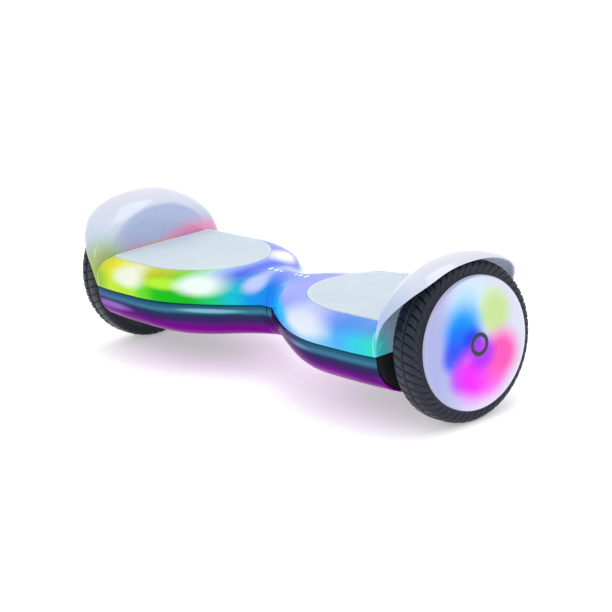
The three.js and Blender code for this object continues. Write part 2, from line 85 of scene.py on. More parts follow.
# ---------- The form's own numbers, which the boxes can't give ----------
NECK_R, NECK_Z, NECK_END = 34.2, 74.3, 9.0
HALF_WIDTH, WIDE_X = 90.0, 150.0
TUCK, TUCK_X = 3.0, 180.0  # how far the long sides draw in again at the wheel, and from where
TOP_RISE, BELLY_DROP, BELLY_Z = 30.6, 49.0, 32.0
TOP_BLEND, BELLY_BLEND = (6, 74), (6, 125)  # x over which the round neck turns into the body
TOP_SQUARE, BELLY_SQUARE = 3.0, 0.7  # how far the body's section is from an ellipse
WALL, SEAM_LIP = 2.6, 0.5
EDGE_ROUND, BELLY_END_ROUND = 0.7, 1.6
STATION_STEP = 2.0
OVERSWEEP, SWEEP_POINTS = 0.5, 500
SKIN_POINTS, WALL_POINTS = 120, 90  # points across a shell's section and across an end plate's
SHELL_SCREWS = [(70, 0), (204, -58), (204, 58)]
SCREW_HOLE_R, SCREW_HOLE_Z = 4.4, (20, 41)
ROUND_STEPS, SCREW_STEPS, PIN_STEPS, CAP_STEPS, RING_STEPS = 48, 32, 16, 192, 96

PAD_ROUND_X, PAD_LOW_Z = 152.0, 103.2  # the middle of the pad's round end, and its underside
PAD_CORNER, PAD_END_TUCK = 5.0, 1.2
PAD_CUT_MARGIN, PAD_CUT_Z = 0.5, (96, 120)
RIB_PITCH, RIB_HEIGHT = 2.4, 0.35
RIB_FIELD_INSET, RIB_END = 2.4, 0.8  # the ribs' distance from the rim, and their sloping ends
RIBS_FROM, RIBS_TO = 3.6, 3.0  # the first and last rib's distance from the pad's long sides

ARCH_X, ARCH_HALF, ARCH_RISE, ARCH_BASE = 226.0, 65.0, 45.0, 108.0
BRIM_HALF = [  # the fender's free edge, from its front foot to the top
    (229, -87, 81.5),
    (234, -88, 99),
    (244, -86, 117),
    (262, -72, 137),
    (274, -53, 150),
    (277, -28, 159),
    (277, 0, 161.5),
]
BRIM_POINTS = BRIM_HALF + [(x, -y, z) for x, y, z in BRIM_HALF[-2::-1]]
FENDER_TAIL = 0.06  # share of the sweep that runs on past the brim's ends, down to the seam
FENDER_FOOT = (FENDER_X + 3, 86.3, SEAM_Z + 0.4)
FENDER_WALL, FENDER_ROUNDING = 2.4, 3.4
FENDER_ROWS, FENDER_COLUMNS = 150, 90

RIM_R = 64.0
SLASHES, STEPS_PER_SLASH = 54, 16
SLASH_DEPTH, SLASH_REACH = 2.4, 22.0  # a slash's length is from the groove over the shoulder
SLASH_WIDTH = 0.075  # share of the pitch
FLANK_DEPTH = 1.1
GROOVE_X, GROOVE_DEPTH, GROOVE_WIDTH = 258.5, 2.4, 0.9  # the groove that runs round the tread
SHOULDER_R = 77.0
TYRE_LIP_X = 271.5

PORT_X, PORT_Z, PORT_R, PORT_FACE = 160.0, 66.0, 10.4, 84.8
PORT_BORE, PORT_DEPTH, PORT_LENGTH = 6.4, 13.0, 18.0
PINS, PIN_CIRCLE, PIN_R = 3, 3.4, 0.8
BUTTON_X, BUTTON_Z, BUTTON_R, BUTTON_FACE = 118.0, 66.0, 6.5, 82.6
REAR_HOLE_Y = (74, 96)
LIGHT_BARS = [(28, 30, 4), (18.7, 20.3, 3), (11.4, 12.6, 2)]  # x from, x to, half its length
BAR_FOOT_Z, BAR_CUT_MARGIN, BAR_CUT_Z = 104.9, 0.15, (104, 112)

# ---------- Colours, as seen on a screen ----------
# A band is a list of stops along x. A spot is its centre, its reach along each axis (None where it
# runs on), its colour and its strength. A wheel cap's spots are placed from the axle, in y and z.
SPOT_CORE = 0.3  # share of a soft spot's reach that has its full colour
SHELL_BANDS = {
    "left": {
        "seam": [
            (-224, (140, 190, 10)),
            (-196, (196, 232, 20)),
            (-165, (176, 236, 20)),
            (-140, (96, 220, 0)),
            (-118, (0, 196, 0)),
            (-80, (0, 190, 10)),
            (-56, (0, 205, 110)),
            (-36, (0, 196, 215)),
            (-16, (0, 150, 240)),
            (0, (0, 130, 238)),
        ],
        "crown": [
            (-224, (215, 215, 60)),
            (-190, (236, 232, 40)),
            (-145, (205, 205, 0)),
            (-118, (176, 200, 0)),
            (-94, (120, 215, 20)),
            (-74, (40, 200, 140)),
            (-60, (40, 120, 245)),
            (-42, (72, 76, 246)),
            (-20, (122, 130, 248)),
            (0, (146, 152, 248)),
        ],
    },
    "right": {
        "seam": [
            (0, (10, 130, 240)),
            (30, (0, 150, 240)),
            (60, (10, 170, 245)),
            (150, (120, 200, 250)),
            (180, (70, 180, 250)),
            (205, (40, 215, 235)),
            (224, (40, 225, 205)),
        ],
        "crown": [
            (0, (150, 156, 250)),
            (45, (140, 148, 248)),
            (90, (150, 168, 250)),
            (140, (130, 150, 246)),
            (190, (84, 150, 242)),
            (224, (96, 160, 238)),
        ],
    },
}
# the top shell's brighter lamp glow, and painted highlights that stand for reflections of the room's
# lights
SHELL_GLOW_AND_HIGHLIGHTS = {
    "left": [
        ((-110, 0, 99), (40, None, 8), (190, 250, 60), 0.9),
        # painted highlights: near-white and pale blue reflections of the room's lights
        ((-167, 0, 99), (38, None, 15), (240, 246, 228), 1.0),
        ((-70, 0, 99.5), (38, None, 15), (240, 255, 250), 1.0),
        ((-20, 0, 101), (14, None, 12), (196, 208, 255), 1.0),
    ],
    "right": [
        ((70, 0, 92), (40, None, 11), (60, 195, 252), 0.9),
        # a painted highlight: a near-white reflection of the room's lights
        ((122, 0, 96), (56, None, 19), (226, 234, 250), 1.0),
    ],
}
# the film's own teal to magenta, with a painted highlight band near 72.5 mm and a painted dark
# reflection band from 62 to 67 mm
BELLY_FILM_AND_REFLECTIONS = [  # stops along z
    (30, (164, 6, 168)),
    (47, (152, 10, 160)),
    (55, (106, 28, 132)),
    # painted dark reflection band, from here to 67 mm
    (62, (54, 38, 88)),
    (67, (36, 46, 80)),
    # painted highlight band: a reflection of the room's light on the round belly
    (72.5, (52, 106, 130)),
    (76.5, (32, 84, 106)),
    (80, (18, 62, 76)),
]
# painted highlights: streaks of reflected light along the belly film
BELLY_PAINTED_HIGHLIGHTS = [
    ((-60, 0, 73), (46, None, 3.4), (126, 178, 190), 0.7),
    ((90, 0, 72), (52, None, 3.8), (112, 164, 178), 0.7),
    ((-204, 0, 63), (50, None, 6.5), (138, 112, 182), 0.85),
    ((-120, 0, 44), (70, None, 5), (188, 40, 190), 0.6),
    ((150, 0, 50), (60, None, 6), (170, 60, 180), 0.6),
]
# the fender's milky white, with painted shading: darker and bluer at its foot, paler towards the top
FENDER_TONE_AND_PAINTED_SHADING = [  # stops along z
    (80, (182, 200, 230)),
    (125, (190, 204, 228)),
    (150, (204, 211, 229)),
    (168, (211, 213, 227)),
]
# painted light: the lamps' coloured light falling on the fender's foot and wall, and painted
# reflections
FENDER_PAINTED_LIGHT = {
    "left": [
        ((-226, 50, 106), (16, 66, 26), (236, 130, 172), 0.9),
        ((-226, -40, 112), (8, 40, 20), (176, 168, 212), 0.7),
        ((-226, -20, 108), (8, 60, 8), (214, 150, 170), 0.7),
        ((-234, -78, 110), (34, 42, 46), (186, 208, 214), 0.7),
        ((-232, -76, 98), (34, 44, 40), (158, 180, 104), 0.95),
        ((-230, -84, 86), (24, 26, 24), (150, 180, 30), 1.0),
    ],
    "right": [
        ((238, -72, 122), (34, 40, 44), (172, 192, 220), 0.8),
        ((232, -84, 104), (24, 24, 30), (150, 176, 232), 0.7),
        ((228, -84, 84), (22, 26, 34), (60, 212, 215), 1.0),
        ((226, 52, 108), (14, 48, 26), (170, 175, 250), 1.0),
    ],
}
CAP_SPOTS = [
    ((-6, 46), 34, (210, 232, 246), 0.9),
    ((0, -50), 30, (230, 214, 250), 0.9),
    ((-14, 34), 32, (160, 214, 250), 0.9),
    ((20, 36), 24, (208, 234, 200), 0.9),
    ((24, 26), 30, (196, 224, 150), 1.0),
    ((-20, 18), 34, (0, 152, 250), 1.0),
    ((-24, 6), 28, (0, 108, 248), 1.0),
    ((-33, -6), 22, (50, 72, 242), 0.9),
    ((-8, 4), 20, (20, 50, 236), 0.9),
    ((-26, -27), 22, (160, 74, 246), 0.9),
    ((-8, -29), 37, (236, 36, 252), 1.0),
    ((14, -34), 30, (246, 70, 232), 0.8),
    ((28, -16), 34, (248, 84, 184), 1.0),
    ((3, -9), 24, (172, 36, 250), 0.9),
]

# ---------- The studio's numbers ----------
FLOOR_HALF, FLOOR_Z = 15000, -0.3
WORLD_STRENGTH = 1.0
LIGHT_AIM = (0, 0, 0.08)  # lights and camera are placed in metres
LIGHTS = [  # name, place, size, power
    ("top_box", (0.1, 0.2, 1.4), (1.2, 0.8), 5),
    ("front_box", (0.9, -1.5, 0.9), (0.9, 0.5), 3),
]
AZIMUTH, ELEVATION, ROLL = (math.radians(angle) for angle in (51.14, 15.85, -5.11))
SENSOR, FOCAL = 36.0, 133.72
CAMERA_PLACE = (1.78995, -1.4233, 0.72022)
CAMERA_CLIP = (0.1, 60)


# ---------- Mesh helpers ----------
def srgb(red, green, blue):
    """A colour as seen on a screen, 0 to 255, in the linear values that shaders use."""
    values = [channel / 255 for channel in (red, green, blue)]
    linear = [v / 12.92 if v <= 0.04045 else ((v + 0.055) / 1.055) ** 2.4 for v in values]
    return (*linear, 1.0)


def smooth_step(x, start, end):
    t = np.clip((x - start) / (end - start), 0, 1)
    return t * t * (3 - 2 * t)


def path_lengths(points):
    """The distance along a line of points from its first one to each of them."""
    return np.concatenate([[0], np.cumsum(np.linalg.norm(np.diff(points, axis=0), axis=1))])


def resample(points, count):
    """The same open curve with count points at even spacing."""
    points = np.asarray(points, float)
    along = path_lengths(points)
    wanted = np.linspace(0, along[-1], count)
    columns = [np.interp(wanted, along, points[:, k]) for k in range(points.shape[1])]
    return np.stack(columns, axis=1)


def make_object(name, points, faces, sharp=35, merge=0.0):
    """A mesh object from points in millimetres, with its normals outwards and smooth shading."""
    mesh = bpy.data.meshes.new(name)
    mesh.from_pydata((np.asarray(points) * MM).tolist(), [], faces)
    form = bmesh.new()
    form.from_mesh(mesh)
    if merge:
        bmesh.ops.remove_doubles(form, verts=form.verts, dist=merge * MM)
        bmesh.ops.dissolve_degenerate(form, edges=form.edges, dist=1e-7)
    bmesh.ops.recalc_face_normals(form, faces=form.faces)
    form.to_mesh(mesh)
    form.free()
    item = bpy.data.objects.new(name, mesh)
    bpy.context.scene.collection.objects.link(item)
    shade(item, sharp)
    return item


def shade(item, sharp=35):
    item.data.shade_smooth()
    item.data.set_sharp_from_angle(angle=math.radians(sharp))


def loft(name, rings, around=False, sharp=35, merge=0.0):
    """A closed body through rings of points. With around, the last ring joins the first."""
    rings = np.asarray(rings, float)
    count, size = rings.shape[:2]
    faces = []
    for i in range(count if around else count - 1):
        here, there = i * size, ((i + 1) % count) * size
        for j in range(size):
            k = (j + 1) % size
            faces.append((here + j, here + k, there + k, there + j))
    if not around:
        faces.append(tuple(range(size)))
        faces.append(tuple(range((count - 1) * size, count * size))[::-1])
    return make_object(name, rings.reshape(-1, 3), faces, sharp, merge)


def section_loft(name, sections, sharp=35):
    """A closed body through (x, section) pairs, where a section is points of [y, z]."""
    rings = [np.column_stack([np.full(len(section), x), section]) for x, section in sections]
    return loft(name, rings, sharp=sharp)


def turned(profile, centre, axis, angle):
    """Points of [radius, station] swung to one angle about the line through centre along axis."""
    profile = np.asarray(profile, float)
    across, up = (k for k in range(3) if k != axis)
    ring = np.tile(np.asarray(centre, float), (len(profile), 1))
    ring[:, axis] = profile[:, 1]
    ring[:, across] += profile[:, 0] * math.cos(angle)
    ring[:, up] += profile[:, 0] * math.sin(angle)
    return ring


def lathe(name, profile, centre, axis, steps):
    """A closed profile of [radius, station] points turned all the way round."""
    angles = np.linspace(0, 2 * math.pi, steps, endpoint=False)
    rings = [turned(profile, centre, axis, angle) for angle in angles]
    return loft(name, rings, around=True, merge=0.001)


def prism(name, outline, low, high):
    """A plan outline of [x, y] points raised between two heights."""
    return loft(name, [[(x, y, z) for x, y in outline] for z in (low, high)])


def cut(item, tools):
    """Takes the tools' shapes out of the item and removes the tools."""
    for tool in tools:
        modifier = item.modifiers.new("cut", "BOOLEAN")
        modifier.solver = "EXACT"
        modifier.object = tool
    graph = bpy.context.evaluated_depsgraph_get()
    mesh = bpy.data.meshes.new_from_object(item.evaluated_get(graph))
    item.modifiers.clear()
    item.data = mesh
    for tool in tools:
        bpy.data.objects.remove(tool)
    shade(item)


def to_side(side, *items):
    """Mirrors pieces that were drawn for the right half when they belong to the left one."""
    if side == "left":
        for item in items:
            item.data.transform(Matrix.Scale(-1, 4, Vector((1, 0, 0))))
            item.data.flip_normals()
            shade(item)


def place(item, body, material, slot, *nodes):
    """Finishes a piece: its material, the body it moves with and the CAD nodes it stands for."""
    item.data.materials.clear()
    item.data.materials.append(material)
    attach(item, body)
    if nodes:
        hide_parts(*nodes)


# ---------- Materials ----------
class Paint:
    """Builds one procedural material around a Principled shader."""

    def __init__(self, name, **values):
        self.material = bpy.data.materials.new(name)
        self.material.use_nodes = True
        self.tree = self.material.node_tree
        self.shader = self.tree.nodes["Principled BSDF"]
        for socket, value in values.items():
            self.shader.inputs[socket.replace("_", " ")].default_value = value
        self.coords = self.tree.nodes.new("ShaderNodeTexCoord").outputs["Object"]
        split = self.tree.nodes.new("ShaderNodeSeparateXYZ")
        self.link(self.coords, split.inputs[0])
        self.x, self.y, self.z = split.outputs

    def link(self, source, target):
        self.tree.links.new(source, target)

    def feed(self, target, value):
        if isinstance(value, bpy.types.NodeSocket):
            self.link(value, target)
        else:
            target.default_value = value

    def maths(self, operation, first, second=0.0):
        node = self.tree.nodes.new("ShaderNodeMath")
        node.operation = operation
        self.feed(node.inputs[0], first)
        self.feed(node.inputs[1], second)
        return node.outputs[0]

    def spread(self, value, low, high, to_low=0.0, to_high=1.0, smooth=True):
        node = self.tree.nodes.new("ShaderNodeMapRange")
        node.interpolation_type = "SMOOTHSTEP" if smooth else "LINEAR"
        for index, item in enumerate((value, low, high, to_low, to_high)):
            self.feed(node.inputs[index], item)
        return node.outputs[0]

    def between(self, place_on_axis, low, high, to_low=0.0, to_high=1.0, smooth=True):
        """Spreads a place along an axis, with its limits in millimetres."""
        return self.spread(place_on_axis, low * MM, high * MM, to_low, to_high, smooth)

    def ramp(self, place_on_axis, stops):
        """Colours along an axis, from stops of (millimetres, screen colour) pairs."""
        node = self.tree.nodes.new("ShaderNodeValToRGB")
        node.color_ramp.interpolation = "EASE"
        elements = node.color_ramp.elements
        while len(elements) > 1:
            elements.remove(elements[-1])
        low, high = stops[0][0], stops[-1][0]
        for index, (at, colour) in enumerate(stops):
            position = (at - low) / (high - low)
            element = elements[0] if index == 0 else elements.new(position)
            element.position = position
            element.color = srgb(*colour)
        self.link(self.between(place_on_axis, low, high, smooth=False), node.inputs[0])
        return node.outputs[0]

    def mix(self, first, second, amount):
        node = self.tree.nodes.new("ShaderNodeMix")
        node.data_type = "RGBA"
        self.feed(node.inputs[0], amount)
        self.feed(node.inputs[6], first)
        self.feed(node.inputs[7], second)
        return node.outputs[2]

    def vector_maths(self, operation, source, values=None):
        node = self.tree.nodes.new("ShaderNodeVectorMath")
        node.operation = operation
        self.link(source, node.inputs[0])
        if values:
            node.inputs[1].default_value = values
        return node.outputs

    def blob(self, under, centre, reach, colour, amount):
        """A soft spot of screen colour. A reach of None lets the spot run on along that axis."""
        shift = self.vector_maths("SUBTRACT", self.coords, [c * MM for c in centre])[0]
        shares = [0 if r is None else 1 / (r * MM) for r in reach]
        scaled = self.vector_maths("MULTIPLY", shift, shares)[0]
        distance = self.vector_maths("LENGTH", scaled)["Value"]
        weight = self.spread(distance, 1.0, SPOT_CORE, 0.0, amount)
        return self.mix(under, srgb(*colour), weight)

    def blobs(self, under, spots):
        for spot in spots:
            under = self.blob(under, *spot)
        return under

    def noise(self, scale, detail=3.0, roughness=0.5):
        node = self.tree.nodes.new("ShaderNodeTexNoise")
        node.inputs["Scale"].default_value = scale
        node.inputs["Detail"].default_value = detail
        node.inputs["Roughness"].default_value = roughness
        self.link(self.coords, node.inputs["Vector"])
        return node.outputs[0]

    def bump(self, height, distance):
        node = self.tree.nodes.new("ShaderNodeBump")
        node.inputs["Strength"].default_value = 1.0
        node.inputs["Distance"].default_value = distance * MM
        self.link(height, node.inputs["Height"])
        self.link(node.outputs[0], self.shader.inputs["Normal"])

    def colour(self, value):
        self.feed(self.shader.inputs["Base Color"], value)

    def glow(self, value, strength):
        self.feed(self.shader.inputs["Emission Color"], value)
        self.shader.inputs["Emission Strength"].default_value = strength

    def lit_from_inside(self, value, darkening, strength):
        """A colour that mostly glows, over a darkened base that takes little of the room's light."""
        self.colour(self.mix(value, BLACK, darkening))
        self.glow(value, strength)

    def roughness(self, low, high, scale=60.0):
        """Roughness that varies a little over the surface, as handling leaves it."""
        varied = self.spread(self.noise(scale), 0.3, 0.7, low, high)
        self.link(varied, self.shader.inputs["Roughness"])


def sign_of(side):
    return -1 if side == "left" else 1


def mottled(name, colour, variation, low, high, scale, metallic, bump):
    """A finish whose colour and roughness wander slightly."""
    paint = Paint(name, Metallic=metallic)
    full = srgb(*colour)
    darker = (*(channel * (1 - variation) for channel in full[:3]), 1.0)
    paint.colour(paint.mix(darker, full, paint.noise(scale, 4)))
    paint.roughness(low, high, scale * 1.7)
    paint.bump(paint.noise(scale * 12, 2), bump)
    return paint.material


def glowing_shell(side):
    """The lit top shell: bands of colour along the half, brighter glow over its lamps, and painted
    highlights and a painted reflection of the room's lights.
    """
    name = f"shell_glow_{side}"
    paint = Paint(name, Coat_Weight=0.08, Coat_Roughness=0.04, Specular_IOR_Level=0.08)
    seam, crown = (paint.ramp(paint.x, SHELL_BANDS[side][band]) for band in ("seam", "crown"))
    from_middle = paint.maths("ABSOLUTE", paint.x)
    rise_at_neck = paint.between(from_middle, 20, 80, 7 * MM, 0.0)
    height = paint.maths("SUBTRACT", paint.z, rise_at_neck)
    lit = paint.mix(seam, crown, paint.between(height, 90, 108))
    # brighter glow over the lamps, and painted highlights of the room's lights
    lit = paint.blobs(lit, SHELL_GLOW_AND_HIGHLIGHTS[side])
    # behind the pad the shell turns periwinkle, with a painted white reflection over its crown
    rear = paint.maths("MULTIPLY", paint.between(paint.y, 10, 34), paint.between(paint.z, 96, 105))
    lit = paint.mix(lit, srgb(118, 122, 232), rear)
    lit = paint.blob(lit, (sign_of(side) * 47, 43, 111), (50, 28, 9), (246, 247, 255), 1.0)
    uneven = paint.mix(lit, BLACK, paint.spread(paint.noise(18), 0.4, 0.8, 0.0, 0.08))
    paint.lit_from_inside(uneven, 0.8, 0.76)
    paint.roughness(0.10, 0.2)
    return paint.material


def belly_film():
    """The bottom shell's metallic film, which runs from teal at the seam to magenta below, with painted
    reflections and painted shade on its flat underside.
    """
    paint = Paint("belly_film", Metallic=1.0, Specular_Tint=srgb(216, 186, 224))
    wander = paint.maths("MULTIPLY", paint.maths("SUBTRACT", paint.noise(14), 0.5), 6 * MM)
    # the film's colour with painted highlight and dark reflection bands
    film = paint.ramp(paint.maths("ADD", paint.z, wander), BELLY_FILM_AND_REFLECTIONS)
    # painted highlights along the film
    film = paint.blobs(film, BELLY_PAINTED_HIGHLIGHTS)
    # painted shade: the flat underside facing the floor is dark, which also keeps the film's colour out
    # of the floor's shadow
    painted_shade_underside = paint.between(paint.z, BELLY_Z + 1.2, BELLY_Z + 0.6)
    paint.colour(paint.mix(film, srgb(30, 22, 34), painted_shade_underside))
    paint.roughness(0.12, 0.2)
    return paint.material


def fender_plastic(side):
    """Milky white plastic with painted light: shading up its height and on its inner wall, the lamps'
    light at its base, and a faint glow.
    """
    paint = Paint(f"fender_{side}", Coat_Weight=0.7, Coat_Roughness=0.05)
    # the fender's milky white with painted shading up its height
    body = paint.ramp(paint.z, FENDER_TONE_AND_PAINTED_SHADING)
    # painted shade: the fender's upright inner wall beside the pad is darker and bluer
    wall = paint.between(paint.x, sign_of(side) * 227.5, sign_of(side) * 224.5)
    body = paint.mix(body, srgb(170, 183, 218), wall)
    # painted light from the lamps, and painted reflections
    body = paint.blobs(body, FENDER_PAINTED_LIGHT[side])
    # painted glow: the fender holds no lamp, yet it glows a little with these colours
    paint.lit_from_inside(body, 0.3, 0.19)
    paint.roughness(0.2, 0.34)
    return paint.material


def tyre_rubber():
    """Dark blue-grey rubber with a little dust on it."""
    paint = Paint("tyre_rubber", Specular_IOR_Level=0.28)
    grey = paint.mix(srgb(12, 17, 28), srgb(28, 36, 50), paint.noise(30, 5, 0.6))
    dust = paint.spread(paint.noise(9, 4), 0.5, 0.8, 0.0, 0.2)
    paint.colour(paint.mix(grey, srgb(48, 54, 66), dust))
    paint.roughness(0.28, 0.42, 45)
    paint.bump(paint.noise(1400, 2), 0.05)
    return paint.material


def lit_cap(side):
    """The wheel's light cap: pale at its rim, with the lamps' colours round its middle."""
    paint = Paint(f"cap_{side}", Coat_Weight=0.1, Coat_Roughness=0.05, Specular_IOR_Level=0.1)
    pale = paint.between(paint.y, -60, 0)
    colour = paint.mix(srgb(172, 178, 226), srgb(218, 220, 240), pale)
    for (y, z), reach, tint, amount in CAP_SPOTS:
        colour = paint.blob(colour, (0, y, AXLE_Z + z), (None, reach, reach), tint, amount)
    off_axle = paint.maths("SUBTRACT", paint.z, AXLE_Z * MM)
    squares = [paint.maths("POWER", offset, 2) for offset in (paint.y, off_axle)]
    radius = paint.maths("SQRT", paint.maths("ADD", *squares))
    colour = paint.mix(colour, srgb(184, 186, 222), paint.between(radius, 64.5, 65.8))
    paint.lit_from_inside(colour, 0.7, 0.7)
    paint.roughness(0.12, 0.2)
    return paint.material


def pad_rubber():
    """Pale grey rubber, dull and finely grained."""
    paint = Paint("pad_rubber")
    paint.colour(paint.mix(srgb(190, 203, 212), srgb(206, 217, 225), paint.noise(22, 5, 0.6)))
    paint.roughness(0.55, 0.75, 80)
    paint.bump(paint.noise(900, 2), 0.08)
    return paint.material


def board_finish():
    """Circuit board: dark green mask with fine tracks."""
    paint = Paint("circuit_board")
    brick = paint.tree.nodes.new("ShaderNodeTexBrick")
    brick.inputs["Scale"].default_value = 240
    brick.inputs["Mortar Size"].default_value = 0.03
    brick.inputs["Color1"].default_value = srgb(18, 74, 44)
    brick.inputs["Color2"].default_value = srgb(24, 88, 54)
    brick.inputs["Mortar"].default_value = srgb(120, 140, 90)
    paint.link(paint.coords, brick.inputs["Vector"])
    paint.colour(brick.outputs[0])
    paint.roughness(0.35, 0.5)
    return paint.material


def indicator_light():
    """The white bars of light beside the neck."""
    paint = Paint("indicator_light", Roughness=0.2, Coat_Weight=1.0)
    tone = paint.mix(srgb(220, 250, 255), srgb(255, 255, 255), paint.noise(300))
    paint.colour(tone)
    paint.glow(tone, 0.9)
    return paint.material


# name, colour, how far it darkens, roughness from and to, noise scale, metallic, bump in millimetres
FINISHES = {
    "aluminium": mottled("cast_aluminium", (168, 171, 176), 0.2, 0.4, 0.6, 60, 1.0, 0.06),
    "steel": mottled("machined_steel", (160, 162, 168), 0.25, 0.25, 0.45, 90, 1.0, 0.02),
    "copper": mottled("copper_winding", (184, 115, 66), 0.3, 0.3, 0.5, 120, 1.0, 0.05),
    "battery_wrap": mottled("battery_wrap", (34, 86, 165), 0.15, 0.25, 0.4, 30, 0.0, 0.05),
    "black_plastic": mottled("black_plastic", (26, 27, 32), 0.3, 0.4, 0.55, 80, 0.0, 0.04),
    "rubber": mottled("soft_rubber", (32, 33, 37), 0.3, 0.6, 0.8, 70, 0.0, 0.05),
    "circuit_board": board_finish(),
}
BELLY, TYRE_FINISH, PAD_FINISH, LENS = belly_film(), tyre_rubber(), pad_rubber(), indicator_light()
GLOW = {side: glowing_shell(side) for side in SIDES}
FENDER = {side: fender_plastic(side) for side in SIDES}
CAPS = {side: lit_cap(side) for side in SIDES}


# ---------- The form of one half ----------
def half_width(x):
    flare = math.sin(math.pi / 2 * np.clip((x - NECK_END) / (WIDE_X - NECK_END), 0, 1))
    tuck = TUCK * np.clip((x - TUCK_X) / (END_X - TUCK_X), 0, 1) ** 2
    return NECK_R + (HALF_WIDTH - NECK_R) * flare - tuck


def crown_height(x):
    neck_top = NECK_Z + NECK_R
    return neck_top + (SEAM_Z + TOP_RISE - neck_top) * smooth_step(x, *TOP_BLEND)


def arc(x, inset, upper, count):
    """Half of the form's section at x, from the front (-Y) to the rear, above or below the seam."""
    body = smooth_step(x, *TOP_BLEND)
    belly = smooth_step(x, *BELLY_BLEND)
    centre = NECK_Z + (SEAM_Z - NECK_Z) * body
    width = half_width(x) - inset
    roof = crown_height(x)
    neck_floor = NECK_Z - NECK_R
    floor = neck_floor + (SEAM_Z - BELLY_DROP - neck_floor) * belly
    side_up = 1 if upper else -1
    points = []
    # the sweep runs on past both ends, because the seam isn't level with the section's centre
    for angle in np.linspace(-OVERSWEEP, math.pi + OVERSWEEP, SWEEP_POINTS):
        above = (math.sin(angle) >= 0) == upper
        height = (roof - centre if above else centre - floor) - inset
        power = 2 + (TOP_SQUARE * body if above else BELLY_SQUARE * belly)
        across, up = -math.cos(angle), math.sin(angle) * side_up
        y = width * math.copysign(abs(across) ** (2 / power), across)
        z = centre + height * math.copysign(abs(up) ** (2 / power), up)
        points.append((y, z))
    points = np.array(points)
    limit = SEAM_Z + side_up * GAP / 2
    kept = points[(points[:, 1] - limit) * side_up > 0]
    ends = []
    for y_sign in (-1, 1):
        flank = points[np.sign(points[:, 0]) == y_sign]
        order = np.argsort(flank[:, 1])
        ends.append((np.interp(limit, flank[order, 1], flank[order, 0]), limit))
    curve = resample(np.vstack([ends[0], kept, ends[1]]), count)
    if not upper:
        curve[:, 1] = np.maximum(curve[:, 1], BELLY_Z + inset)
    return curve


def rounded_edge(x, radius):
    """The (x, inset) stations of a quarter-round edge at x. A negative radius runs towards -X."""
    shares = (0, 0.25, 0.6, 1)
    return [(x + radius * t, abs(radius) * (1 - math.sqrt(1 - (1 - t) ** 2))) for t in shares]


def skin(name, end, end_round, upper):
    """A shell half from the split to end, with rounded edges and a wall of even thickness."""
    count = int((end - SPLIT_X) / STATION_STEP)
    middle = np.linspace(SPLIT_X + EDGE_ROUND, end - end_round, count)[1:-1]
    stations = rounded_edge(SPLIT_X, EDGE_ROUND) + [(x, 0.0) for x in middle]
    stations += rounded_edge(end, -end_round)[::-1]
    sections = []
    for x, inset in stations:
        outer = arc(x, inset, upper, SKIN_POINTS)
        outer[0, 0] += SEAM_LIP
        outer[-1, 0] -= SEAM_LIP
        sections.append((x, np.vstack([outer, arc(x, WALL, upper, SKIN_POINTS)[::-1]])))
    return section_loft(name, sections, sharp=40)


def end_wall(name):
    """The dark wall that closes the bottom shell beside the wheel."""
    sections = []
    for x, inset in ((END_X - 3, 2.9), (END_X - 0.9, 2.9), (END_X - 0.4, 3.2)):
        section = arc(x, inset, False, WALL_POINTS)
        section[[0, -1], 1] -= GAP
        sections.append((x, section))
    return section_loft(name, sections)


def pad_corner(half, end, y_sign, angles):
    """The rounded corner of the pad beside the fender, on one side of the board."""
    middle = y_sign * (half - PAD_END_TUCK - PAD_CORNER)
    return [
        (end - PAD_CORNER + PAD_CORNER * math.cos(t), middle + PAD_CORNER * math.sin(t))
        for t in np.linspace(*angles, 7)
    ]


def pad_outline(inset):
    """The pad in plan: a round end towards the neck and two rounded corners beside the fender."""
    half, end = PAD_HALF - inset, PAD_END_X - inset
    reach = PAD_ROUND_X - PAD_TIP_X - inset
    nose = [
        (PAD_ROUND_X - reach * math.cos(t), half * math.sin(t))
        for t in np.linspace(math.pi / 2, -math.pi / 2, 72)
    ]
    rear = pad_corner(half, end, 1, (0, math.pi / 2))
    front = pad_corner(half, end, -1, (-math.pi / 2, 0))
    return rear + nose + front


def rounded_bar(x0, x1, half):
    """A plan outline of a bar along Y with round ends."""
    radius, middle = (x1 - x0) / 2, (x0 + x1) / 2
    outline = []
    for sign in (-1, 1):
        for t in np.linspace(0, math.pi, 8):
            across = sign * radius * math.cos(t)
            outline.append((middle + across, sign * (half - radius + radius * math.sin(t))))
    return outline


def make_shells(side):
    """The lit top shell, the bottom shell and the dark wall at the bottom shell's end."""
    body = f"{side}_half"
    upper = skin(f"{side}_top_cover", TOP_END_X, EDGE_ROUND, True)
    openings = [prism("pad_cut", pad_outline(-PAD_CUT_MARGIN), *PAD_CUT_Z)]
    for x0, x1, half in LIGHT_BARS:
        margin = BAR_CUT_MARGIN
        outline = rounded_bar(x0 - margin, x1 + margin, half + margin)
        openings.append(prism("bar_cut", outline, *BAR_CUT_Z))
    cut(upper, openings)
    lower = skin(f"{side}_bottom_cover", END_X, BELLY_END_ROUND, False)
    holes = [
        hole(SCREW_HOLE_R, SCREW_HOLE_Z, (x, y, 0), ALONG_Z, SCREW_STEPS) for x, y in SHELL_SCREWS
    ]
    if side == "right":
        for x, z, radius in ((PORT_X, PORT_Z, PORT_R + GAP), (BUTTON_X, BUTTON_Z, BUTTON_R + 0.4)):
            holes.append(hole(radius, REAR_HOLE_Y, (x, 0, z), ALONG_Y, ROUND_STEPS))
    cut(lower, holes)
    wall = end_wall(f"{side}_end_wall")
    to_side(side, upper, lower, wall)
    place(upper, body, GLOW[side], "shell_glow", f"{side}_top_shell")
    place(lower, body, BELLY, "belly", f"{side}_bottom_shell")
    place(wall, body, FINISHES["black_plastic"], "black_plastic")


